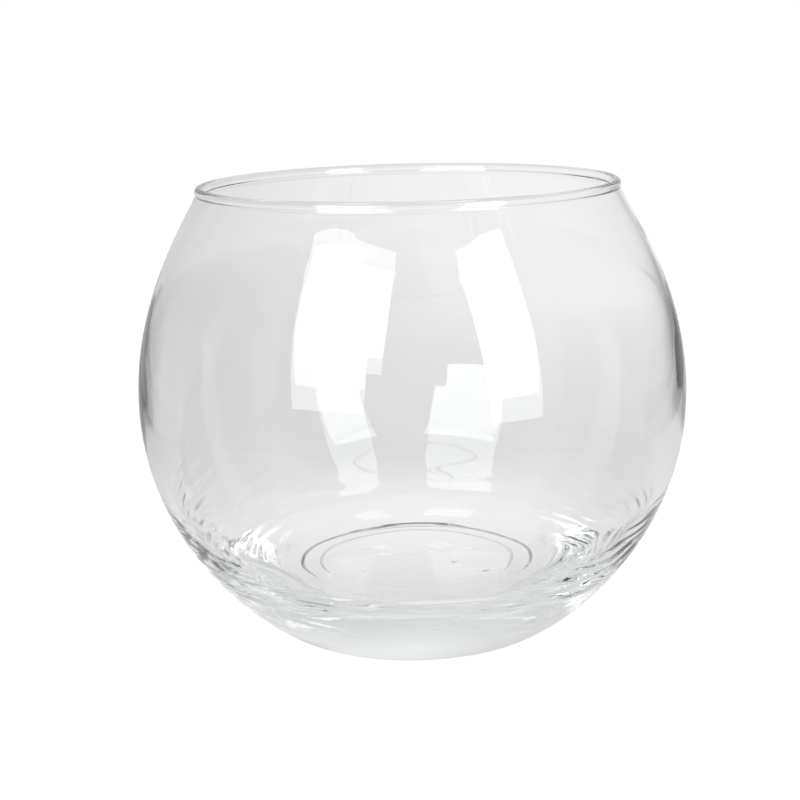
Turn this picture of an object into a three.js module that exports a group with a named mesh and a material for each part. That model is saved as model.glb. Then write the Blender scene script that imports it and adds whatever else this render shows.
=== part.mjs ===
// Fishbowl vase: one piece of clear machine-blown glass, a body of revolution about the upright axis.
// Millimetres, +Z up, origin on the axis in the plane that the foot stands on.
import * as THREE from "three";

// Outside of the bowl
const HEIGHT = 122.5; // table to the top of the rim
const BELLY_RADIUS = 75; // widest circle
const BELLY_LEVEL = 64.7; // height of the widest circle
const FOOT_RADIUS = 38; // outer edge of the flat band that bears on the table
const HEEL_ANGLE = 14.1; // degrees, rise of the heel as it leaves the table
const HEEL_EASE = 0.054; // share of the belly's level over which the heel keeps that rise
const LOWER_EASE = 0.643; // share of the belly's level over which the wall stays upright below the belly
const UPPER_EASE = 0.383; // share of the shoulder's height over which the wall stays upright above the belly
const NECK_ANGLE = 31.2; // degrees, inward lean of the wall under the rim
const NECK_EASE = 0.34; // share of the shoulder's height over which the wall keeps that lean

// Rim, rounded to a bead by the fire polish
const RIM_RADIUS = 57.15; // outside of the bead
const BEAD_RADIUS = 1.3; // section of the bead
const BEAD_TUCK = 45; // degrees below level at which the wall runs into the bead, outside and inside

// Thickness of the glass
const NECK_WALL = 1.82; // square to the wall, just under the bead
const BELLY_WALL = 2.8; // widest outer radius less the widest inner one
const INNER_BELLY_RISE = 3; // widest inner circle above the widest outer one
const INNER_UPPER_EASE = 0.451; // share of the inner shoulder's height that stays upright above that circle
const INNER_NECK_EASE = 0.316; // share of the inner shoulder's height that keeps the neck's lean
const HEEL_WALL = 9.4; // level distance from the edge of the inner floor to the outside
const BASE_THICKNESS = 19.8; // table to the inner floor
const CORNER_RISE_EASE = 0.66; // share of the inner corner's height that stays upright
const CORNER_FLOOR_EASE = 0.286; // share of the inner corner's width that stays level

// Underside: bearing band, recess, annular groove and the raised panel inside it
const BEARING_WIDTH = 4.1; // flat band, inwards from the foot's edge
const RECESS_RAMP = 1.4; // width of the slope from the band into the recess
const RECESS_DEPTH = 0.8; // lift of the groove's floor off the table
const GROOVE_WIDTH = 4.3; // level floor of the groove
const PANEL_STEP = 1; // width of the step from the groove to the panel
const PANEL_LIFT = 0.6; // lift of the panel above the groove's floor
const PANEL_CROWN = 0.5; // further lift of the panel at the axis

const AROUND = 64; // facets round the axis

const point = (radius, level) => new THREE.Vector2(radius, level);
const radians = THREE.MathUtils.degToRad;

// Unit vector in the section plane, at an angle from level, in degrees.
function heading(degrees) {
  return point(Math.cos(radians(degrees)), Math.sin(radians(degrees)));
}

// The point that lies a length along a heading from a start.
function along(start, direction, length) {
  return start.clone().addScaledVector(direction, length);
}

// Points of a cubic curve from start to end, each end given with its handle.
function sweep(start, startHandle, endHandle, end, steps) {
  return new THREE.CubicBezierCurve(start, startHandle, endHandle, end).getPoints(steps);
}

// Points of a slope that leaves one level and arrives at another without a corner.
function easedStep(start, end, steps) {
  const middle = (start.x + end.x) / 2;
  return sweep(start, point(middle, start.y), point(middle, end.y), end, steps);
}

// Radius at a level on a rising run of points.
function radiusAt(run, level) {
  const above = Math.max(1, run.findIndex((p) => p.y >= level));
  const low = run[above - 1];
  const high = run[above];
  return THREE.MathUtils.mapLinear(level, low.y, high.y, low.x, high.x);
}

// Outside wall: heel to belly, then belly to the crease under the bead.
const beadCentre = point(RIM_RADIUS - BEAD_RADIUS, HEIGHT - BEAD_RADIUS);
const outerCrease = along(beadCentre, heading(-BEAD_TUCK), BEAD_RADIUS);
const shoulderHeight = outerCrease.y - BELLY_LEVEL;
const neckDown = heading(NECK_ANGLE - 90);
const footEdge = point(FOOT_RADIUS, 0);
const belly = point(BELLY_RADIUS, BELLY_LEVEL);
const lowerWall = sweep(
  footEdge,
  along(footEdge, heading(HEEL_ANGLE), HEEL_EASE * BELLY_LEVEL),
  along(belly, heading(-90), LOWER_EASE * BELLY_LEVEL),
  belly,
  14,
);
const upperWall = sweep(
  belly,
  along(belly, heading(90), UPPER_EASE * shoulderHeight),
  along(outerCrease, neckDown, NECK_EASE * shoulderHeight),
  outerCrease,
  11,
);

// Bead, from the outer crease over the top to the inner one.
const bead = new THREE.EllipseCurve(
  beadCentre.x,
  beadCentre.y,
  BEAD_RADIUS,
  BEAD_RADIUS,
  radians(-BEAD_TUCK),
  radians(180 + BEAD_TUCK),
).getPoints(10); // an even count puts a point on the very top

// Inside wall: thin under the bead, thicker from the shoulder down, then a turn into the level floor.
const innerCrease = along(outerCrease, heading(NECK_ANGLE + 180), NECK_WALL);
const innerBelly = point(BELLY_RADIUS - BELLY_WALL, BELLY_LEVEL + INNER_BELLY_RISE);
const innerShoulder = innerCrease.y - innerBelly.y;
const floorEdge = point(radiusAt(lowerWall, BASE_THICKNESS) - HEEL_WALL, BASE_THICKNESS);
const cornerHeight = innerBelly.y - floorEdge.y;
const cornerWidth = innerBelly.x - floorEdge.x;
const innerUpper = sweep(
  innerCrease,
  along(innerCrease, neckDown, INNER_NECK_EASE * innerShoulder),
  along(innerBelly, heading(90), INNER_UPPER_EASE * innerShoulder),
  innerBelly,
  10,
);
const innerCorner = sweep(
  innerBelly,
  along(innerBelly, heading(-90), CORNER_RISE_EASE * cornerHeight),
  along(floorEdge, heading(0), CORNER_FLOOR_EASE * cornerWidth),
  floorEdge,
  11,
);

// Underside, from the axis out to the bearing band.
const bearingEdge = point(FOOT_RADIUS - BEARING_WIDTH, 0);
const grooveOuter = point(bearingEdge.x - RECESS_RAMP, RECESS_DEPTH);
const grooveInner = point(grooveOuter.x - GROOVE_WIDTH, RECESS_DEPTH);
const panelEdge = point(grooveInner.x - PANEL_STEP, RECESS_DEPTH + PANEL_LIFT);
const panelTop = point(0, panelEdge.y + PANEL_CROWN);
const underside = [
  ...easedStep(panelTop, panelEdge, 4),
  ...easedStep(panelEdge, grooveInner, 3).slice(1),
  ...easedStep(grooveOuter, bearingEdge, 4),
];

const section = [
  ...underside,
  ...lowerWall,
  ...upperWall.slice(1),
  ...bead.slice(1),
  ...innerUpper,
  ...innerCorner.slice(1),
  point(0, BASE_THICKNESS),
];

const glass = new THREE.MeshStandardMaterial({
  color: 0xeaf2ef,
  roughness: 0.04,
  metalness: 0,
  transparent: true,
  opacity: 0.35,
});

const bowl = new THREE.Mesh(new THREE.LatheGeometry(section, AROUND).rotateX(Math.PI / 2), glass);
bowl.name = "glass_bowl";

const vase = new THREE.Group();
vase.name = "fishbowl_vase";
vase.add(bowl);

export default vase;
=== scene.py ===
"""Fishbowl vase of clear machine-blown glass: the finished bowl, the studio round it and the camera."""

import logging
import math
from dataclasses import dataclass, field
from enum import Enum
from typing import Sequence

import bpy
import numpy as np
from mathutils import Matrix, Vector


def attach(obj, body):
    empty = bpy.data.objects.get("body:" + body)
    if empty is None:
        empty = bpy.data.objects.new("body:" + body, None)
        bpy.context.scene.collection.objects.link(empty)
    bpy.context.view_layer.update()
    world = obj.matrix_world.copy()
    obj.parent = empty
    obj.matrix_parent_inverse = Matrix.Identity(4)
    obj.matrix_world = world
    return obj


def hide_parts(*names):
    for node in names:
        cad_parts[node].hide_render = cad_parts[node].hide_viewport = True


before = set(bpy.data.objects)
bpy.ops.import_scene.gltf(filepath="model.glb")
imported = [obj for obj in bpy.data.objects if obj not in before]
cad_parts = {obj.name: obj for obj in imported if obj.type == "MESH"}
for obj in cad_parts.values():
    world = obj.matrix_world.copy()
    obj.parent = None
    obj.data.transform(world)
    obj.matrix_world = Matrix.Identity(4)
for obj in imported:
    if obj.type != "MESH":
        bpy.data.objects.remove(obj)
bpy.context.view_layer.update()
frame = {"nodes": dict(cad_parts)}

MM = 0.001
LOG = logging.getLogger("fishbowl_vase")
WHITE = (1.0, 1.0, 1.0, 1.0)
POWER_PER_RADIANCE = 4.0  # watts of an area lamp for a radiance of 1 over a square metre


class Zone(Enum):
    """Stretches of the glass section, in the order in which the section runs."""

    UNDERSIDE = 0
    OUTSIDE = 1
    BEAD = 2
    INSIDE = 3
    FLOOR = 4


def heading(degrees: float) -> np.ndarray:
    """Unit vector in the section plane: cosine and sine of an angle from level."""
    return np.array([math.cos(math.radians(degrees)), math.sin(math.radians(degrees))])


def sweep(
    start: np.ndarray, start_handle: np.ndarray, end_handle: np.ndarray, end: np.ndarray, steps: int
) -> np.ndarray:
    """Cubic curve: the four points weighted by the cubic Bernstein terms of t from 0 to 1.

    Args:
        start: First point, as radius and level.
        start_handle: Handle of the first point.
        end_handle: Handle of the last point.
        end: Last point.
        steps: Number of equal steps of t.

    Returns:
        The points along the curve, one row each.
    """
    t = np.linspace(0.0, 1.0, steps + 1)[:, None]
    u = 1.0 - t
    return u**3 * start + 3 * u**2 * t * start_handle + 3 * u * t**2 * end_handle + t**3 * end


def eased_step(start: np.ndarray, end: np.ndarray, steps: int) -> np.ndarray:
    """Slope between two levels that leaves and arrives level: a cubic with both handles at mid radius.

    Args:
        start: First point, as radius and level.
        end: Last point.
        steps: Number of steps.

    Returns:
        The points along the slope.
    """
    middle = (start[0] + end[0]) / 2
    return sweep(start, np.array([middle, start[1]]), np.array([middle, end[1]]), end, steps)


def smooth_gate(value: np.ndarray, low: float, high: float) -> np.ndarray:
    """Rises from 0 at low to 1 at high along 3t^2 - 2t^3.

    Args:
        value: Values to gate.
        low: Where the gate is still 0.
        high: Where the gate has reached 1; it may lie below low for a falling gate.

    Returns:
        The gate for each value.
    """
    t = np.clip((value - low) / (high - low), 0.0, 1.0)
    return t * t * (3.0 - 2.0 * t)


def wander(angle: np.ndarray, orders: Sequence[int], seed: int) -> np.ndarray:
    """Closed random line round the axis: cosines of whole-number orders with seeded phases.

    Their sum is divided by the root of their number, so it stays mostly between -1 and 1.

    Args:
        angle: Angles round the axis, in radians.
        orders: Whole number of waves of each cosine.
        seed: Seed of the phases.

    Returns:
        The value at each angle.
    """
    phases = np.random.default_rng(seed).uniform(0.0, 2.0 * np.pi, len(orders))
    waves = np.cos(np.multiply.outer(angle, np.asarray(orders)) + phases)
    return waves.sum(axis=-1) / math.sqrt(len(orders))


def mixed_socket(sockets: Sequence[bpy.types.NodeSocket], identifier: str) -> bpy.types.NodeSocket:
    """Socket of a Mix node by its identifier: sockets of different data types share a name."""
    return next(socket for socket in sockets if socket.identifier == identifier)


@dataclass(frozen=True)
class FinerStretch:
    """A stretch of the section with closer rows: its zone, its span of radii or levels, its share of rows."""

    zone: Zone
    by_radius: bool
    low: float
    high: float
    share: float
    fade: float = 1.0

    def gate(self, points: np.ndarray, zone: np.ndarray) -> np.ndarray:
        """Gate over the stretch: 1 inside its span and 0 outside, faded at both ends.

        Args:
            points: Points of the section, as radius and level.
            zone: Zone number of each point.

        Returns:
            The gate, scaled so that it adds up to the share.
        """
        value = points[:, 0] if self.by_radius else points[:, 1]
        rise = smooth_gate(value, self.low - self.fade, self.low)
        made = rise * smooth_gate(value, self.high + self.fade, self.high) * (zone == self.zone.value)
        return self.share * made / made.sum()


@dataclass(frozen=True)
class SectionLine:
    """The section as rows for the lathe: where each row lies, which way it faces and which zone it is in."""

    radius: np.ndarray
    level: np.ndarray
    out_radial: np.ndarray
    out_level: np.ndarray
    zone: np.ndarray


@dataclass
class BowlSection:
    """Half section of the bowl, with the sizes of the solid part in millimetres."""

    height: float = 122.5
    belly_radius: float = 75.0
    belly_level: float = 64.7
    foot_radius: float = 38.0
    heel_angle: float = 14.1
    heel_ease: float = 0.054
    lower_ease: float = 0.643
    upper_ease: float = 0.383
    neck_angle: float = 31.2
    neck_ease: float = 0.34
    rim_radius: float = 57.15
    bead_radius: float = 1.3
    bead_tuck: float = 45.0
    neck_wall: float = 1.82
    belly_wall: float = 2.8
    inner_belly_rise: float = 3.0
    inner_upper_ease: float = 0.451
    inner_neck_ease: float = 0.316
    heel_wall: float = 9.4
    base_thickness: float = 19.8
    corner_rise_ease: float = 0.66
    corner_floor_ease: float = 0.286
    bearing_width: float = 4.1
    recess_ramp: float = 1.4
    recess_depth: float = 0.8
    groove_width: float = 4.3
    panel_step: float = 1.0
    panel_lift: float = 0.6
    panel_crown: float = 0.5
    fire_polish: float = 0.22
    polish_reach: int = 4
    pace: float = 0.05
    even_share: float = 0.35
    wall_steps: int = 400
    panel_steps: int = 80
    ramp_steps: int = 40
    bead_points: int = 80

    def outer_crease(self) -> np.ndarray:
        """Point where the wall runs into the bead on the outside."""
        return self.bead_centre() + self.bead_radius * heading(-self.bead_tuck)

    def bead_centre(self) -> np.ndarray:
        """Centre of the bead's round section."""
        return np.array([self.rim_radius - self.bead_radius, self.height - self.bead_radius])

    def underside(self) -> np.ndarray:
        """Axis to bearing band: crowned panel, step, annular groove and ramp, each an eased step.

        Returns:
            Points from the axis outwards.
        """
        bearing = np.array([self.foot_radius - self.bearing_width, 0.0])
        groove_outer = np.array([bearing[0] - self.recess_ramp, self.recess_depth])
        groove_inner = np.array([groove_outer[0] - self.groove_width, self.recess_depth])
        panel_edge = np.array([groove_inner[0] - self.panel_step, self.recess_depth + self.panel_lift])
        panel_top = np.array([0.0, panel_edge[1] + self.panel_crown])
        return np.vstack(
            [
                eased_step(panel_top, panel_edge, self.panel_steps),
                eased_step(panel_edge, groove_inner, self.ramp_steps)[1:],
                eased_step(groove_outer, bearing, self.ramp_steps),
            ]
        )

    def outside(self) -> np.ndarray:
        """Foot to crease: a cubic from heel to belly and one from belly to the crease under the bead.

        Returns:
            Points from the foot upwards.
        """
        foot = np.array([self.foot_radius, 0.0])
        belly = np.array([self.belly_radius, self.belly_level])
        crease = self.outer_crease()
        shoulder = crease[1] - self.belly_level
        lower = sweep(
            foot,
            foot + heading(self.heel_angle) * self.heel_ease * self.belly_level,
            belly + heading(-90) * self.lower_ease * self.belly_level,
            belly,
            self.wall_steps,
        )
        upper = sweep(
            belly,
            belly + heading(90) * self.upper_ease * shoulder,
            crease + heading(self.neck_angle - 90) * self.neck_ease * shoulder,
            crease,
            self.wall_steps,
        )
        return np.vstack([lower, upper[1:]])

    def bead(self) -> np.ndarray:
        """Rim bead: an arc from the outer crease over the top to the inner one.

        Returns:
            Points along the arc.
        """
        angles = np.radians(np.linspace(-self.bead_tuck, 180.0 + self.bead_tuck, self.bead_points))
        return self.bead_centre() + self.bead_radius * np.stack([np.cos(angles), np.sin(angles)], axis=1)

    def inside(self) -> np.ndarray:
        """Inner crease to floor: a cubic down to the widest inner circle and one round the corner.

        Returns:
            Points from the rim downwards.
        """
        outside = self.outside()
        crease = self.outer_crease() - heading(self.neck_angle) * self.neck_wall
        down = heading(self.neck_angle - 90)
        belly = np.array([self.belly_radius - self.belly_wall, self.belly_level + self.inner_belly_rise])
        lower = outside[outside[:, 1] <= self.belly_level]
        floor_radius = np.interp(self.base_thickness, lower[:, 1], lower[:, 0]) - self.heel_wall
        floor_edge = np.array([floor_radius, self.base_thickness])
        shoulder = crease[1] - belly[1]
        corner = belly - floor_edge
        upper = sweep(
            crease,
            crease + down * self.inner_neck_ease * shoulder,
            belly + heading(90) * self.inner_upper_ease * shoulder,
            belly,
            self.wall_steps,
        )
        turn = sweep(
            belly,
            belly + heading(-90) * self.corner_rise_ease * corner[1],
            floor_edge + heading(0) * self.corner_floor_ease * corner[0],
            floor_edge,
            self.wall_steps,
        )
        return np.vstack([upper, turn[1:]])

    def dense(self) -> tuple[np.ndarray, np.ndarray]:
        """Whole section at an even pace, with every crease rounded by a Gaussian along its length.

        Returns:
            The points from the underside's axis to the floor's axis, and the zone number of each.
        """
        runs = [self.underside(), self.outside(), self.bead(), self.inside()]
        runs.append(np.array([[0.0, self.base_thickness]]))
        points = np.vstack(runs)
        zones = np.concatenate([np.full(len(run), index) for index, run in enumerate(runs)])
        steps = np.hypot(*np.diff(points, axis=0).T)
        travel = np.concatenate([[0.0], np.cumsum(steps)])
        count = int(travel[-1] / self.pace)
        even = np.linspace(0.0, travel[-1], count)
        line = np.stack([np.interp(even, travel, column) for column in points.T], axis=1)
        zone = zones[np.clip(np.searchsorted(travel, even), 0, len(zones) - 1)]
        reach = int(self.polish_reach * self.fire_polish / self.pace)
        weights = np.exp(-0.5 * (np.arange(-reach, reach + 1) * self.pace / self.fire_polish) ** 2)
        weights /= weights.sum()
        mirror = np.array([-1.0, 1.0])
        padded = np.vstack([line[reach:0:-1] * mirror, line, line[-2 : -reach - 2 : -1] * mirror])
        rounded = np.stack([np.convolve(padded[:, axis], weights, mode="valid") for axis in (0, 1)], axis=1)
        rounded[[0, -1], 0] = 0.0
        return rounded, zone

    def rows(self, count: int, finer: Sequence[FinerStretch]) -> SectionLine:
        """Rows for the lathe, closer where the section turns and along the finer stretches.

        The weight of a point is a constant, plus its turning per length, plus the gates of the finer
        stretches. Rows lie at equal steps of the running sum of the weights.

        Args:
            count: Number of rows, with one on the axis at each end.
            finer: Stretches that carry small marks.

        Returns:
            The rows.
        """
        points, zone = self.dense()
        tangent = np.gradient(points, axis=0)
        tangent /= np.hypot(*tangent.T)[:, None]
        turning = np.hypot(*np.gradient(tangent, axis=0).T)
        plain = self.even_share / len(points) + (1 - self.even_share) * turning / turning.sum()
        weight = (1 - sum(stretch.share for stretch in finer)) * plain
        weight += sum(stretch.gate(points, zone) for stretch in finer)
        running = np.concatenate([[0.0], np.cumsum((weight[1:] + weight[:-1]) / 2)])
        places = np.interp(np.linspace(0.0, running[-1], count), running, np.arange(len(points)))
        index = np.arange(len(points))
        picked = [np.interp(places, index, column) for column in (*points.T, tangent[:, 1], -tangent[:, 0])]
        return SectionLine(*picked, zone=zone[np.rint(places).astype(int)])


@dataclass(frozen=True)
class ClearGlass:
    """Finish of the bowl: clear soda-lime glass, a trace of green in its depth, a faint film of handling."""

    ior: float = 1.52
    depth_tint: tuple[float, float, float] = (0.80, 0.92, 0.88)
    depth_density: float = 1.5
    film_tint: tuple[float, float, float] = (0.985, 0.99, 0.99)
    film_roughness: float = 0.02
    film_scale: float = 22.0
    film_detail: float = 4.0
    film_distortion: float = 1.2
    film_patch: tuple[float, float] = (0.58, 0.74)
    sway_scale: float = 60.0
    sway_detail: float = 1.0
    sway_height: float = 0.00006

    def material(self) -> bpy.types.Material:
        """Glass shader: full transmission, an absorbing volume, film and sway from noise on the piece.

        Returns:
            The material.
        """
        made = bpy.data.materials.new("clear_glass")
        made.use_nodes = True
        nodes, links = made.node_tree.nodes, made.node_tree.links
        shader = nodes["Principled BSDF"]
        shader.inputs["IOR"].default_value = self.ior
        shader.inputs["Transmission Weight"].default_value = 1.0
        place = nodes.new("ShaderNodeTexCoord")
        film = nodes.new("ShaderNodeTexNoise")
        film.inputs["Scale"].default_value = self.film_scale
        film.inputs["Detail"].default_value = self.film_detail
        film.inputs["Distortion"].default_value = self.film_distortion
        links.new(place.outputs["Object"], film.inputs["Vector"])
        patch = nodes.new("ShaderNodeMapRange")
        patch.interpolation_type = "SMOOTHSTEP"
        patch.inputs["From Min"].default_value = self.film_patch[0]
        patch.inputs["From Max"].default_value = self.film_patch[1]
        links.new(film.outputs["Fac"], patch.inputs["Value"])
        rough = nodes.new("ShaderNodeMath")
        rough.operation = "MULTIPLY"
        rough.inputs[1].default_value = self.film_roughness
        links.new(patch.outputs["Result"], rough.inputs[0])
        links.new(rough.outputs["Value"], shader.inputs["Roughness"])
        tint = nodes.new("ShaderNodeMix")
        tint.data_type = "RGBA"
        mixed_socket(tint.inputs, "A_Color").default_value = WHITE
        mixed_socket(tint.inputs, "B_Color").default_value = (*self.film_tint, 1.0)
        links.new(patch.outputs["Result"], mixed_socket(tint.inputs, "Factor_Float"))
        links.new(mixed_socket(tint.outputs, "Result_Color"), shader.inputs["Base Color"])
        sway = nodes.new("ShaderNodeTexNoise")
        sway.inputs["Scale"].default_value = self.sway_scale
        sway.inputs["Detail"].default_value = self.sway_detail
        links.new(place.outputs["Object"], sway.inputs["Vector"])
        bump = nodes.new("ShaderNodeBump")
        bump.inputs["Distance"].default_value = self.sway_height
        links.new(sway.outputs["Fac"], bump.inputs["Height"])
        links.new(bump.outputs["Normal"], shader.inputs["Normal"])
        volume = nodes.new("ShaderNodeVolumeAbsorption")
        volume.inputs["Color"].default_value = (*self.depth_tint, 1.0)
        volume.inputs["Density"].default_value = self.depth_density
        links.new(volume.outputs["Volume"], nodes["Material Output"].inputs["Volume"])
        return made


@dataclass
class ChillMarks:
    """Marks that the making leaves in the glass, in millimetres.

    They are ripples low on the wall, settling of the inside, waves at the neck, folds at the inner corner,
    waves round the floor, pits under the base and a sway of the rings there. A row of settling has a level,
    a width and a height. A row of pits has a place in two coordinates, a width and a depth.
    """

    settling: tuple[tuple[float, float, float], ...] = (
        (22.0, 2.5, -0.020),
        (26.0, 2.5, 0.014),
        (30.0, 2.5, 0.038),
        (34.0, 2.7, -0.027),
        (38.0, 2.7, -0.024),
        (42.0, 3.0, -0.034),
        (47.0, 3.5, -0.023),
        (53.0, 4.0, -0.003),
        (60.0, 4.5, 0.018),
        (68.0, 5.5, 0.027),
        (78.0, 7.0, 0.012),
        (90.0, 8.0, 0.025),
        (102.0, 7.0, 0.055),
        (113.0, 5.0, 0.091),
    )
    ripple_levels: tuple[float, float] = (4.0, 48.0)
    ripple_front_top: float = 20.0
    ripple_pitch: float = 3.9
    ripple_height: float = 0.03
    ripple_side_height: float = 0.48
    ripple_upper_share: float = 0.25
    ripple_fade: tuple[float, float] = (44.0, 24.0)
    ripple_onset: float = 3.0
    ripple_top_fade: float = 7.0
    ripple_orders: tuple[int, ...] = (2, 3, 5)
    ripple_drift: float = 0.5
    ripple_fine_orders: tuple[int, ...] = (7, 11)
    ripple_fine_drift: float = 0.25
    ripple_fine_twist: float = 0.05
    ripple_patch_orders: tuple[int, ...] = (3, 5, 8, 13)
    ripple_patch_edge: float = 1.5
    ripple_patch_twist: float = 0.03
    neck_levels: tuple[float, float] = (98.0, 119.5)
    neck_pitch: float = 6.5
    neck_height: float = 0.016
    neck_fades: tuple[float, float] = (8.0, 3.0)
    neck_drift_orders: tuple[int, ...] = (2, 3)
    neck_orders: tuple[int, ...] = (5, 9, 14)
    neck_twist: float = 0.02
    corner_height: float = 0.07
    corner_onset: tuple[float, float] = (16.6, 19.0)
    corner_fade: tuple[float, float] = (48.0, 24.0)
    corner_start: float = 14.0
    corner_pitch: float = 0.9
    corner_drift_orders: tuple[int, ...] = (1, 2, 4)
    corner_orders: tuple[int, ...] = (3, 7, 12)
    corner_share: tuple[float, float] = (0.6, 0.4)
    pits: tuple[tuple[float, float, float, float], ...] = (
        (-23.2, 3.5, 1.1, 0.45),
        (-20.5, 7.0, 1.2, 0.40),
        (-12.9, 8.8, 1.2, 0.55),
        (-9.6, 3.2, 0.8, 0.30),
        (-6.4, 1.8, 1.1, 0.45),
        (-3.2, 2.6, 1.0, 0.45),
        (3.3, 4.4, 1.3, 0.55),
        (4.6, 9.0, 1.0, 0.45),
        (11.0, -6.0, 1.0, 0.22),
        (16.5, 6.5, 1.0, 0.40),
        (19.5, -14.9, 1.2, 0.30),
        (-14.5, -13.0, 1.2, 0.20),
        (-3.0, -17.5, 1.1, 0.20),
    )
    pit_edge_fade: float = 3.0
    floor_wave_height: float = 0.08
    floor_wave_radii: tuple[float, float] = (37.0, 46.0)
    floor_wave_levels: tuple[float, float] = (34.0, 21.0)
    floor_wave_share: tuple[float, float] = (0.3, 0.7)
    floor_wave_orders: tuple[int, ...] = (13, 17, 22, 27)
    floor_wave_twist: float = 0.01
    ring_sway: float = 0.3
    ring_wander: float = 0.35
    ring_orders: tuple[int, ...] = (3, 5)
    ripple_seed: int = 11
    neck_seeds: tuple[int, int] = (21, 24)
    corner_seed: int = 31
    ring_seed: int = 41
    floor_seed: int = 51

    def ripples(self, level: np.ndarray, angle: np.ndarray) -> np.ndarray:
        """Chill ripples: a cosine up the wall whose phase wanders round the axis, broken into patches.

        Args:
            level: Level of each row, as a column.
            angle: Angle of each column, as a row.

        Returns:
            Outward offset of each grid point, at most 0.
        """
        low, high = self.ripple_levels
        side = np.cos(angle) ** 2
        top = self.ripple_front_top + (high - self.ripple_front_top) * side**2
        height = self.ripple_height + (self.ripple_side_height - self.ripple_height) * side
        lower = smooth_gate(level, *self.ripple_fade)
        height = height * (self.ripple_upper_share + (1 - self.ripple_upper_share) * lower)
        gate = smooth_gate(level, low - self.ripple_onset, low + self.ripple_onset)
        gate = gate * smooth_gate((level - top) / self.ripple_top_fade, 0.5, -0.5)
        drift = self.ripple_drift * wander(angle, self.ripple_orders, self.ripple_seed)
        twisted = angle + self.ripple_fine_twist * level
        fine = self.ripple_fine_drift * wander(twisted, self.ripple_fine_orders, self.ripple_seed + 1)
        phase = level / self.ripple_pitch + drift + fine
        twisted = angle + self.ripple_patch_twist * level
        patches = wander(twisted, self.ripple_patch_orders, self.ripple_seed + 2)
        patch = 0.5 + 0.5 * np.tanh(self.ripple_patch_edge * patches)
        return -height * gate * patch * (0.5 - 0.5 * np.cos(2 * np.pi * phase))

    def settled(self, level: np.ndarray) -> np.ndarray:
        """Uneven settling of the inside: a sum of Gaussian swells with their levels, widths and heights.

        Args:
            level: Level of each row, as a column.

        Returns:
            Outward offset of each row.
        """
        middle, width, height = np.array(self.settling).T
        return (height * np.exp(-0.5 * ((level - middle) / width) ** 2)).sum(axis=-1, keepdims=True)

    def neck_sway(self, level: np.ndarray, angle: np.ndarray, seed: int) -> np.ndarray:
        """Waves at the neck, front and back: waves up the wall times waves round the axis, faded at the ends.

        Args:
            level: Level of each row, as a column.
            angle: Angle of each column, as a row.
            seed: Seed of the waves.

        Returns:
            Outward offset of each grid point.
        """
        low, high = self.neck_levels
        rise, fall = self.neck_fades
        gate = smooth_gate(level, low, low + rise) * smooth_gate(level, high, high - fall)
        drift = wander(angle, self.neck_drift_orders, seed)
        climb = np.sin(2 * np.pi * level / self.neck_pitch + drift)
        front = np.sin(angle) ** 4
        around = wander(angle + self.neck_twist * level, self.neck_orders, seed + 1)
        return self.neck_height * gate * front * climb * around

    def corner_folds(self, level: np.ndarray, angle: np.ndarray) -> np.ndarray:
        """Folds round the inner corner: waves up the wall with a drifting phase, strongest above the floor.

        Args:
            level: Level of each row, as a column.
            angle: Angle of each column, as a row.

        Returns:
            Outward offset of each grid point.
        """
        gate = smooth_gate(level, *self.corner_onset) * smooth_gate(level, *self.corner_fade)
        rise = np.sqrt(np.maximum(level - self.corner_start, 0.0))
        drift = wander(angle, self.corner_drift_orders, self.corner_seed)
        climb = np.sin(2 * np.pi * rise / self.corner_pitch + drift)
        even, uneven = self.corner_share
        around = even + uneven * wander(angle, self.corner_orders, self.corner_seed + 1)
        return self.corner_height * gate * climb * around

    def base_pits(self, x: np.ndarray, y: np.ndarray, panel_radius: float) -> np.ndarray:
        """Shallow pits in the panel under the base: Gaussian dips that fade at the panel's edge.

        Args:
            x: First coordinate of each grid point.
            y: Second coordinate of each grid point.
            panel_radius: Radius of the panel.

        Returns:
            Rise of the surface at each grid point, which is deeper into the glass.
        """
        pit_x, pit_y, width, depth = np.array(self.pits).T
        across, along = np.subtract.outer(x, pit_x), np.subtract.outer(y, pit_y)
        dips = depth * np.exp(-(across**2 + along**2) / (2 * width**2))
        inner = panel_radius - self.pit_edge_fade
        return dips.sum(axis=-1) * smooth_gate(np.hypot(x, y), panel_radius, inner)

    def ring_sways(self, angle: np.ndarray) -> np.ndarray:
        """Sway of the rings under the base: inwards at both sides of the bowl, with a slight wander.

        Args:
            angle: Angle of each column, as a row.

        Returns:
            Outward shift of the rings at each angle.
        """
        loose = self.ring_wander * wander(angle, self.ring_orders, self.ring_seed)
        return self.ring_sway * (loose - np.cos(2 * angle))

    def floor_waves(self, radius: np.ndarray, level: np.ndarray, angle: np.ndarray) -> np.ndarray:
        """Waves round the edge of the floor: whole-number orders round the axis, stronger at the sides.

        Args:
            radius: Radius of each row, as a column.
            level: Level of each row, as a column.
            angle: Angle of each column, as a row.

        Returns:
            Outward offset of each grid point.
        """
        gate = smooth_gate(radius, *self.floor_wave_radii) * smooth_gate(level, *self.floor_wave_levels)
        even, sided = self.floor_wave_share
        side = even + sided * np.cos(angle) ** 2
        around = wander(angle + self.floor_wave_twist * radius, self.floor_wave_orders, self.floor_seed)
        return self.floor_wave_height * gate * side * around


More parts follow.
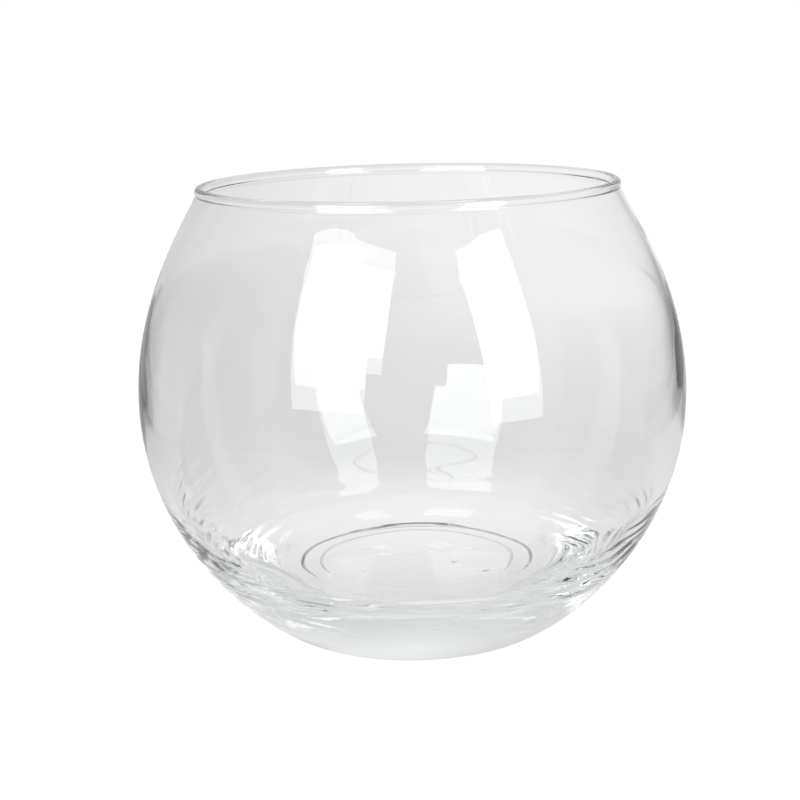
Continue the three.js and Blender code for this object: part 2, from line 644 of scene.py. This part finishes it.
@dataclass
class GlassBowl:
    """The bowl: its section turned about the axis, with the marks of its making in the surface."""

    section: BowlSection = field(default_factory=BowlSection)
    marks: ChillMarks = field(default_factory=ChillMarks)
    finish: ClearGlass = field(default_factory=ClearGlass)
    row_count: int = 484
    column_count: int = 200
    ring_rise: tuple[float, float] = (14.0, 7.0)
    ring_fall: tuple[float, float] = (0.6, 0.4)
    finer: tuple[FinerStretch, ...] = (
        FinerStretch(Zone.OUTSIDE, False, 3.0, 48.0, 0.33),
        FinerStretch(Zone.UNDERSIDE, True, 0.0, 26.0, 0.09),
        FinerStretch(Zone.OUTSIDE, False, 98.0, 119.0, 0.05),
        FinerStretch(Zone.INSIDE, False, 98.0, 119.0, 0.05),
    )

    def surface(self) -> np.ndarray:
        """Surface of revolution: each section row turned round the axis, then offset by the marks.

        A point is radius times cosine and sine of the angle, and the level. The marks move it along the row's
        outward direction, the pits lift it, and the rings under the base sway in radius.

        Returns:
            Grid of points in millimetres, rows by columns by three.
        """
        line = self.section.rows(self.row_count, self.finer)
        angle = np.linspace(0.0, 2 * np.pi, self.column_count, endpoint=False)[None, :]
        radius, level = line.radius[:, None], line.level[:, None]
        out_radial, out_level = line.out_radial[:, None], line.out_level[:, None]
        zone = line.zone[:, None]
        outside, inside = zone == Zone.OUTSIDE.value, zone == Zone.INSIDE.value
        offset = outside * self.marks.ripples(level, angle)
        offset = offset + outside * self.marks.neck_sway(level, angle, self.marks.neck_seeds[0])
        offset = offset + inside * self.marks.neck_sway(level, angle, self.marks.neck_seeds[1])
        offset = offset + inside * self.marks.corner_folds(level, angle)
        offset = offset + inside * self.marks.settled(level)
        floor = zone == Zone.FLOOR.value
        offset = offset + (inside | floor) * self.marks.floor_waves(radius, level, angle)
        under = zone == Zone.UNDERSIDE.value
        edge = self.section.foot_radius - self.section.bearing_width
        ring = smooth_gate(radius, edge - self.ring_rise[0], edge - self.ring_rise[1])
        ring = ring * smooth_gate(radius, edge + self.ring_fall[0], edge - self.ring_fall[1])
        sway = under * ring * self.marks.ring_sways(angle)
        turned = radius + offset * out_radial + sway
        lifted = level + offset * out_level + 0.0 * angle
        x, y = turned * np.cos(angle), turned * np.sin(angle)
        panel = edge - self.section.recess_ramp - self.section.groove_width - self.section.panel_step
        pits = np.zeros_like(x)
        flat = np.flatnonzero(under[:, 0])
        pits[flat] = self.marks.base_pits(x[flat], y[flat], panel)
        return np.stack([x, y, np.maximum(lifted + pits, 0.0)], axis=-1)

    def faces(self) -> list[list[int]]:
        """Quads between neighbouring rows and columns, and a fan of triangles at each end of the axis.

        Returns:
            Vertex numbers of each face, turned so that the faces look out of the glass.
        """
        rows, columns = self.row_count - 2, self.column_count
        start = np.arange(rows - 1)[:, None] * columns
        here = np.arange(columns)[None, :]
        after = (here + 1) % columns
        above = start + columns
        quads = np.stack([start + here, start + after, above + after, above + here], axis=-1)
        first, last = rows * columns, rows * columns + 1
        under = np.stack([np.full(columns, first), after[0], here[0]], axis=1)
        top = (rows - 1) * columns
        floor = np.stack([np.full(columns, last), top + here[0], top + after[0]], axis=1)
        return [*quads.reshape(-1, 4).tolist(), *under.tolist(), *floor.tolist()]

    def build(self) -> bpy.types.Object:
        """Mesh of the bowl, closed at both poles and smooth.

        Returns:
            The finished piece.
        """
        grid = self.surface() * MM
        poles = np.stack([grid[0].mean(axis=0), grid[-1].mean(axis=0)])
        points = np.vstack([grid[1:-1].reshape(-1, 3), poles])
        mesh = bpy.data.meshes.new("glass_bowl_finished")
        mesh.from_pydata(points.tolist(), [], self.faces())
        mesh.polygons.foreach_set("use_smooth", np.ones(len(mesh.polygons), dtype=bool))
        mesh.update()
        piece = bpy.data.objects.new("glass_bowl_finished", mesh)
        bpy.context.scene.collection.objects.link(piece)
        return piece

    def dress(self, piece: bpy.types.Object) -> None:
        """Gives the bowl its glass and its body, and hides the model's glass_bowl part.

        Args:
            piece: The bowl.
        """
        piece.data.materials.append(self.finish.material())
        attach(piece, "root")
        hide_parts("glass_bowl")


@dataclass(frozen=True)
class SoftPanel:
    """A soft light panel that faces the bowl, placed by direction from it, in degrees and metres."""

    name: str
    azimuth: float
    elevation: float
    distance: float
    width: float
    height: float
    roll: float
    radiance: float
    slide: tuple[float, float] = (0.0, 0.0)
    colour: tuple[float, float, float] = (0.96, 1.0, 1.0)

    def build(self, target: Vector) -> bpy.types.Object:
        """Rectangular area lamp whose power gives the panel's radiance over its area.

        Args:
            target: Point that the panel faces.

        Returns:
            The lamp.
        """
        lamp = bpy.data.lights.new(self.name, "AREA")
        lamp.shape = "RECTANGLE"
        lamp.size, lamp.size_y = self.width, self.height
        lamp.energy = POWER_PER_RADIANCE * self.radiance * self.width * self.height
        lamp.color = self.colour
        placed = bpy.data.objects.new(self.name, lamp)
        turn, lift = math.radians(self.azimuth), math.radians(self.elevation)
        away = Vector((math.sin(turn) * math.cos(lift), -math.cos(turn) * math.cos(lift), math.sin(lift)))
        facing = (-away).to_track_quat("-Z", "Y").to_matrix().to_4x4()
        rolled = Matrix.Rotation(math.radians(self.roll), 4, "Z")
        slid = Matrix.Translation((*self.slide, 0.0))
        placed.matrix_world = Matrix.Translation(target + away * self.distance) @ facing @ rolled @ slid
        placed.visible_camera = False
        bpy.context.scene.collection.objects.link(placed)
        return placed


@dataclass(frozen=True)
class ToneBand:
    """One band of a field of grey tones: its place across the field, then each stop's place and tone."""

    place: float
    stops: tuple[tuple[float, float], ...]

    def ramp(
        self, nodes: bpy.types.Nodes, links: bpy.types.NodeLinks, along: bpy.types.NodeSocket
    ) -> bpy.types.NodeSocket:
        """Tone along the band: straight runs between the stops, held beyond the first and the last.

        Args:
            nodes: Nodes of the tree.
            links: Links of the tree.
            along: Coordinate along the band.

        Returns:
            The tone's socket.
        """
        first, last = self.stops[0][0], self.stops[-1][0]
        run = nodes.new("ShaderNodeMapRange")
        run.inputs["From Min"].default_value = first
        run.inputs["From Max"].default_value = last
        links.new(along, run.inputs["Value"])
        made = nodes.new("ShaderNodeValToRGB")
        elements = made.color_ramp.elements
        elements.remove(elements[1])
        elements[0].position = 0.0
        elements[0].color = (self.stops[0][1],) * 3 + (1.0,)
        for place, tone in self.stops[1:]:
            elements.new((place - first) / (last - first)).color = (tone,) * 3 + (1.0,)
        links.new(run.outputs["Result"], made.inputs["Fac"])
        return made.outputs["Color"]


@dataclass(frozen=True)
class CameraPlace:
    """The camera: focal length and aim in pixels, distance and level in millimetres, angles in degrees."""

    focal: float = 1600.0
    distance: float = 444.9
    elevation: float = 13.03
    roll: float = -1.327
    aim_level: float = 61.24
    aim_x: float = 412.73
    aim_y: float = 401.47
    frame: float = 800.0
    sensor: float = 36.0
    near: float = 0.01

    def build(self) -> bpy.types.Object:
        """Camera on the circle round the aim point, turned to it, rolled, and shifted in the frame.

        Returns:
            The camera.
        """
        lens = bpy.data.cameras.new("camera")
        lens.sensor_width = self.sensor
        lens.lens = self.focal / self.frame * lens.sensor_width
        lens.shift_x = -(self.aim_x - self.frame / 2) / self.frame
        lens.shift_y = (self.aim_y - self.frame / 2) / self.frame
        lens.clip_start = self.near
        placed = bpy.data.objects.new("camera", lens)
        lift = math.radians(self.elevation)
        aim = Vector((0.0, 0.0, self.aim_level)) * MM
        away = Vector((0.0, -math.cos(lift), math.sin(lift)))
        facing = (-away).to_track_quat("-Z", "Y").to_matrix().to_4x4()
        rolled = Matrix.Rotation(math.radians(self.roll), 4, "Z")
        placed.matrix_world = Matrix.Translation(aim + away * self.distance * MM) @ facing @ rolled
        bpy.context.scene.collection.objects.link(placed)
        bpy.context.scene.camera = placed
        return placed


@dataclass
class Studio:
    """Plain studio: a pale table that glows with painted light and shade for the glass, a room that is paler
    behind the bowl, and two soft panels.
    """

    table_left: float = -0.262
    table_right: float = 0.235
    table_front: float = -0.235
    table_rear: float = 1.20
    table_gap: float = 0.0002
    table_tone: float = 0.8
    table_roughness: float = 0.9
    table_gloss: float = 0.1
    # Painted light and shade: glow tones across the table, in bands by x and along y, that the glass reflects
    # and shows through. The bright bands stand in for lit parts of a room and the dark ones for shade.
    table_painted_light_bands: tuple[ToneBand, ...] = (
        ToneBand(
            -0.262,
            (
                (-0.235, 1.10), (-0.160, 1.10), (-0.060, 0.65), (0.030, 0.62), (0.140, 0.50),
                (0.450, 0.46), (1.200, 0.76),
            ),
        ),
        ToneBand(
            0.0,
            (
                (-0.235, 0.71), (-0.160, 1.10), (-0.060, 0.66), (0.030, 0.89), (0.140, 0.74),
                (0.450, 0.82), (1.200, 0.90),
            ),
        ),
        ToneBand(
            0.235,
            (
                (-0.235, 0.79), (-0.160, 1.10), (-0.060, 0.29), (0.030, 0.71), (0.140, 0.67),
                (0.450, 1.02), (1.200, 0.89),
            ),
        ),
    )
    table_glow: float = 1.06
    table_white: float = 0.93
    white_reach: tuple[float, float] = (0.13, 0.30)
    horizon: float = -0.12
    horizon_blur: float = 0.01
    room_bands: tuple[ToneBand, ...] = (
        ToneBand(
            0.0,
            (
                (-180.0, 0.89), (-164.0, 0.65), (125.0, 0.65), (138.0, 0.55), (152.0, 0.40),
                (164.0, 0.97), (180.0, 0.89),
            ),
        ),
        ToneBand(0.2, ((-180.0, 0.93), (-152.0, 0.65), (125.0, 0.65), (152.0, 0.79), (180.0, 0.93))),
        ToneBand(0.45, ((-180.0, 0.73), (-125.0, 0.65), (125.0, 0.65), (180.0, 0.73))),
        ToneBand(0.75, ((-180.0, 0.65), (180.0, 0.65))),
        ToneBand(1.0, ((-180.0, 1.00), (-90.0, 1.00), (0.0, 0.65), (90.0, 0.65), (180.0, 1.00))),
    )
    below_band: ToneBand = ToneBand(
        -1.0,
        ((-180.0, 0.65), (-130.0, 0.74), (-90.0, 0.65), (90.0, 0.65), (130.0, 0.45), (180.0, 0.65)),
    )
    panels: tuple[SoftPanel, ...] = (
        SoftPanel("panel_left", -30.4, 26.1, 0.7, 0.448, 0.431, 1.9, 2.8, (0.0, 0.0855)),
        SoftPanel("panel_left_low", -30.4, 26.1, 0.7, 0.375, 0.171, 1.9, 2.8, (-0.0365, -0.2155)),
        SoftPanel("panel_right", 39.6, 22.3, 0.7, 0.272, 0.648, 0.3, 2.8),
    )
    panel_aim: float = 0.06
    bounces: int = 32
    glossy_bounces: int = 16
    camera: CameraPlace = field(default_factory=CameraPlace)

    def tone_field(
        self,
        nodes: bpy.types.Nodes,
        links: bpy.types.NodeLinks,
        bands: Sequence[ToneBand],
        across: bpy.types.NodeSocket,
        along: bpy.types.NodeSocket,
    ) -> bpy.types.NodeSocket:
        """Field of tones: each band's ramp along one coordinate, with straight blends from band to band.

        Args:
            nodes: Nodes of the tree.
            links: Links of the tree.
            bands: Bands in the order of their places.
            across: Coordinate across the bands.
            along: Coordinate along the bands.

        Returns:
            The tone's socket.
        """
        tone = bands[0].ramp(nodes, links, along)
        for before, band in zip(bands, bands[1:]):
            share = self.gate(nodes, links, across, before.place, band.place, "LINEAR")
            tone = self.blend(nodes, links, share, tone, band.ramp(nodes, links, along))
        return tone

    @staticmethod
    def arithmetic(nodes: bpy.types.Nodes, operation: str, *values: float) -> bpy.types.Node:
        """Math node with its operation and its plain inputs set.

        Args:
            nodes: Nodes of the tree.
            operation: The operation, as the Math node names it.
            values: Plain values of the first inputs.

        Returns:
            The node.
        """
        made = nodes.new("ShaderNodeMath")
        made.operation = operation
        for socket, value in zip(made.inputs, values):
            socket.default_value = value
        return made

    def room(self) -> None:
        """World: tone by direction for the glass, and plain white for the camera.

        Under a line just below the horizon one band gives the tone by azimuth. Above it the bands blend by
        height.
        """
        world = bpy.data.worlds.new("room")
        bpy.context.scene.world = world
        world.use_nodes = True
        nodes, links = world.node_tree.nodes, world.node_tree.links
        place = nodes.new("ShaderNodeTexCoord")
        split = nodes.new("ShaderNodeSeparateXYZ")
        links.new(place.outputs["Generated"], split.inputs["Vector"])
        front = self.arithmetic(nodes, "MULTIPLY", 0.0, -1.0)
        links.new(split.outputs["Y"], front.inputs[0])
        turn = self.arithmetic(nodes, "ARCTAN2")
        links.new(split.outputs["X"], turn.inputs[0])
        links.new(front.outputs["Value"], turn.inputs[1])
        azimuth = self.arithmetic(nodes, "DEGREES")
        links.new(turn.outputs["Value"], azimuth.inputs[0])
        around = azimuth.outputs["Value"]
        upper = self.tone_field(nodes, links, self.room_bands, split.outputs["Z"], around)
        lower = self.below_band.ramp(nodes, links, around)
        low, high = self.horizon - self.horizon_blur, self.horizon + self.horizon_blur
        above = self.gate(nodes, links, split.outputs["Z"], low, high)
        tone = self.blend(nodes, links, above, lower, upper)
        path = nodes.new("ShaderNodeLightPath")
        seen = self.blend(nodes, links, path.outputs["Is Camera Ray"], tone, None)
        links.new(seen, nodes["Background"].inputs["Color"])

    @staticmethod
    def gate(
        nodes: bpy.types.Nodes,
        links: bpy.types.NodeLinks,
        value: bpy.types.NodeSocket,
        low: float,
        high: float,
        curve: str = "SMOOTHSTEP",
    ) -> bpy.types.NodeSocket:
        """Step of a value from 0 at low to 1 at high.

        Args:
            nodes: Nodes of the tree.
            links: Links of the tree.
            value: The value's socket.
            low: Where the step is still 0.
            high: Where the step has reached 1.
            curve: Shape of the step, as Map Range names it.

        Returns:
            The step's socket.
        """
        made = nodes.new("ShaderNodeMapRange")
        made.interpolation_type = curve
        made.inputs["From Min"].default_value = low
        made.inputs["From Max"].default_value = high
        links.new(value, made.inputs["Value"])
        return made.outputs["Result"]

    @staticmethod
    def blend(
        nodes: bpy.types.Nodes,
        links: bpy.types.NodeLinks,
        share: bpy.types.NodeSocket,
        first: bpy.types.NodeSocket,
        second: bpy.types.NodeSocket | None,
    ) -> bpy.types.NodeSocket:
        """Colour mix of two sockets by a share.

        Args:
            nodes: Nodes of the tree.
            links: Links of the tree.
            share: Share of the second colour.
            first: First colour.
            second: Second colour, or None for white.

        Returns:
            The mixed colour's socket.
        """
        made = nodes.new("ShaderNodeMix")
        made.data_type = "RGBA"
        links.new(share, mixed_socket(made.inputs, "Factor_Float"))
        links.new(first, mixed_socket(made.inputs, "A_Color"))
        if second is None:
            mixed_socket(made.inputs, "B_Color").default_value = WHITE
        else:
            links.new(second, mixed_socket(made.inputs, "B_Color"))
        return mixed_socket(made.outputs, "Result_Color")

    def table(self) -> bpy.types.Object:
        """Pale table: a rectangle just under the foot, whose finish keeps the bowl's shadow and, for the
        glass, glows with painted light and shade.

        Returns:
            The table.
        """
        corners = [
            (self.table_left, self.table_front, -self.table_gap),
            (self.table_right, self.table_front, -self.table_gap),
            (self.table_right, self.table_rear, -self.table_gap),
            (self.table_left, self.table_rear, -self.table_gap),
        ]
        mesh = bpy.data.meshes.new("table")
        mesh.from_pydata(corners, [], [[0, 1, 2, 3]])
        mesh.materials.append(self.table_finish_and_painted_glow())
        placed = bpy.data.objects.new("table", mesh)
        bpy.context.scene.collection.objects.link(placed)
        return placed

    def table_finish_and_painted_glow(self) -> bpy.types.Material:
        """Pale matt finish, lifted towards white for the camera, and a glow of painted light and shade that
        only the glass sees, in reflection and refraction.

        Returns:
            The material.
        """
        made = bpy.data.materials.new("pale_table_with_painted_glow")
        made.use_nodes = True
        nodes, links = made.node_tree.nodes, made.node_tree.links
        matt = nodes["Principled BSDF"]
        matt.inputs["Base Color"].default_value = (self.table_tone,) * 3 + (1.0,)
        matt.inputs["Roughness"].default_value = self.table_roughness
        matt.inputs["Specular IOR Level"].default_value = self.table_gloss
        white = nodes.new("ShaderNodeEmission")
        white.inputs["Strength"].default_value = self.table_glow
        # Painted light and shade: the table glows with the banded tones for glossy and transmission rays
        # only, so the glass reflects and refracts painted bright and dark bands.
        painted_glow = nodes.new("ShaderNodeEmission")
        place = nodes.new("ShaderNodeTexCoord")
        split = nodes.new("ShaderNodeSeparateXYZ")
        links.new(place.outputs["Object"], split.inputs["Vector"])
        tone = self.tone_field(nodes, links, self.table_painted_light_bands, split.outputs["X"], split.outputs["Y"])
        links.new(tone, painted_glow.inputs["Color"])
        reach = nodes.new("ShaderNodeVectorMath")
        reach.operation = "LENGTH"
        links.new(place.outputs["Object"], reach.inputs[0])
        away = self.gate(nodes, links, reach.outputs["Value"], *self.white_reach)
        rest = 1.0 - self.table_white
        open_white = self.arithmetic(nodes, "MULTIPLY_ADD", 0.0, rest, self.table_white)
        links.new(away, open_white.inputs[0])
        path = nodes.new("ShaderNodeLightPath")
        in_glass = self.arithmetic(nodes, "MAXIMUM")
        links.new(path.outputs["Is Glossy Ray"], in_glass.inputs[0])
        links.new(path.outputs["Is Transmission Ray"], in_glass.inputs[1])
        to_camera = self.arithmetic(nodes, "MULTIPLY")
        links.new(path.outputs["Is Camera Ray"], to_camera.inputs[0])
        links.new(open_white.outputs["Value"], to_camera.inputs[1])
        first = nodes.new("ShaderNodeMixShader")
        links.new(in_glass.outputs["Value"], first.inputs[0])
        links.new(matt.outputs["BSDF"], first.inputs[1])
        links.new(painted_glow.outputs["Emission"], first.inputs[2])
        second = nodes.new("ShaderNodeMixShader")
        links.new(to_camera.outputs["Value"], second.inputs[0])
        links.new(first.outputs["Shader"], second.inputs[1])
        links.new(white.outputs["Emission"], second.inputs[2])
        links.new(second.outputs["Shader"], nodes["Material Output"].inputs["Surface"])
        return made

    def build(self) -> None:
        """Sets the view transform and the bounces, then makes room, table, panels and camera."""
        scene = bpy.context.scene
        scene.view_settings.view_transform = "Standard"
        scene.cycles.max_bounces = self.bounces
        scene.cycles.transmission_bounces = self.bounces
        scene.cycles.glossy_bounces = self.glossy_bounces
        self.room()
        self.table()
        for panel in self.panels:
            panel.build(Vector((0.0, 0.0, self.panel_aim)))
        self.camera.build()


def main() -> None:
    """Builds the bowl and the studio, and reports each piece."""
    logging.basicConfig(level=logging.INFO, format="%(name)s: %(message)s")
    bowl = GlassBowl()
    piece = bowl.build()
    bowl.dress(piece)
    LOG.info("%s: %d points, %d faces", piece.name, len(piece.data.vertices), len(piece.data.polygons))
    Studio().build()


if __name__ == "__main__":
    main()
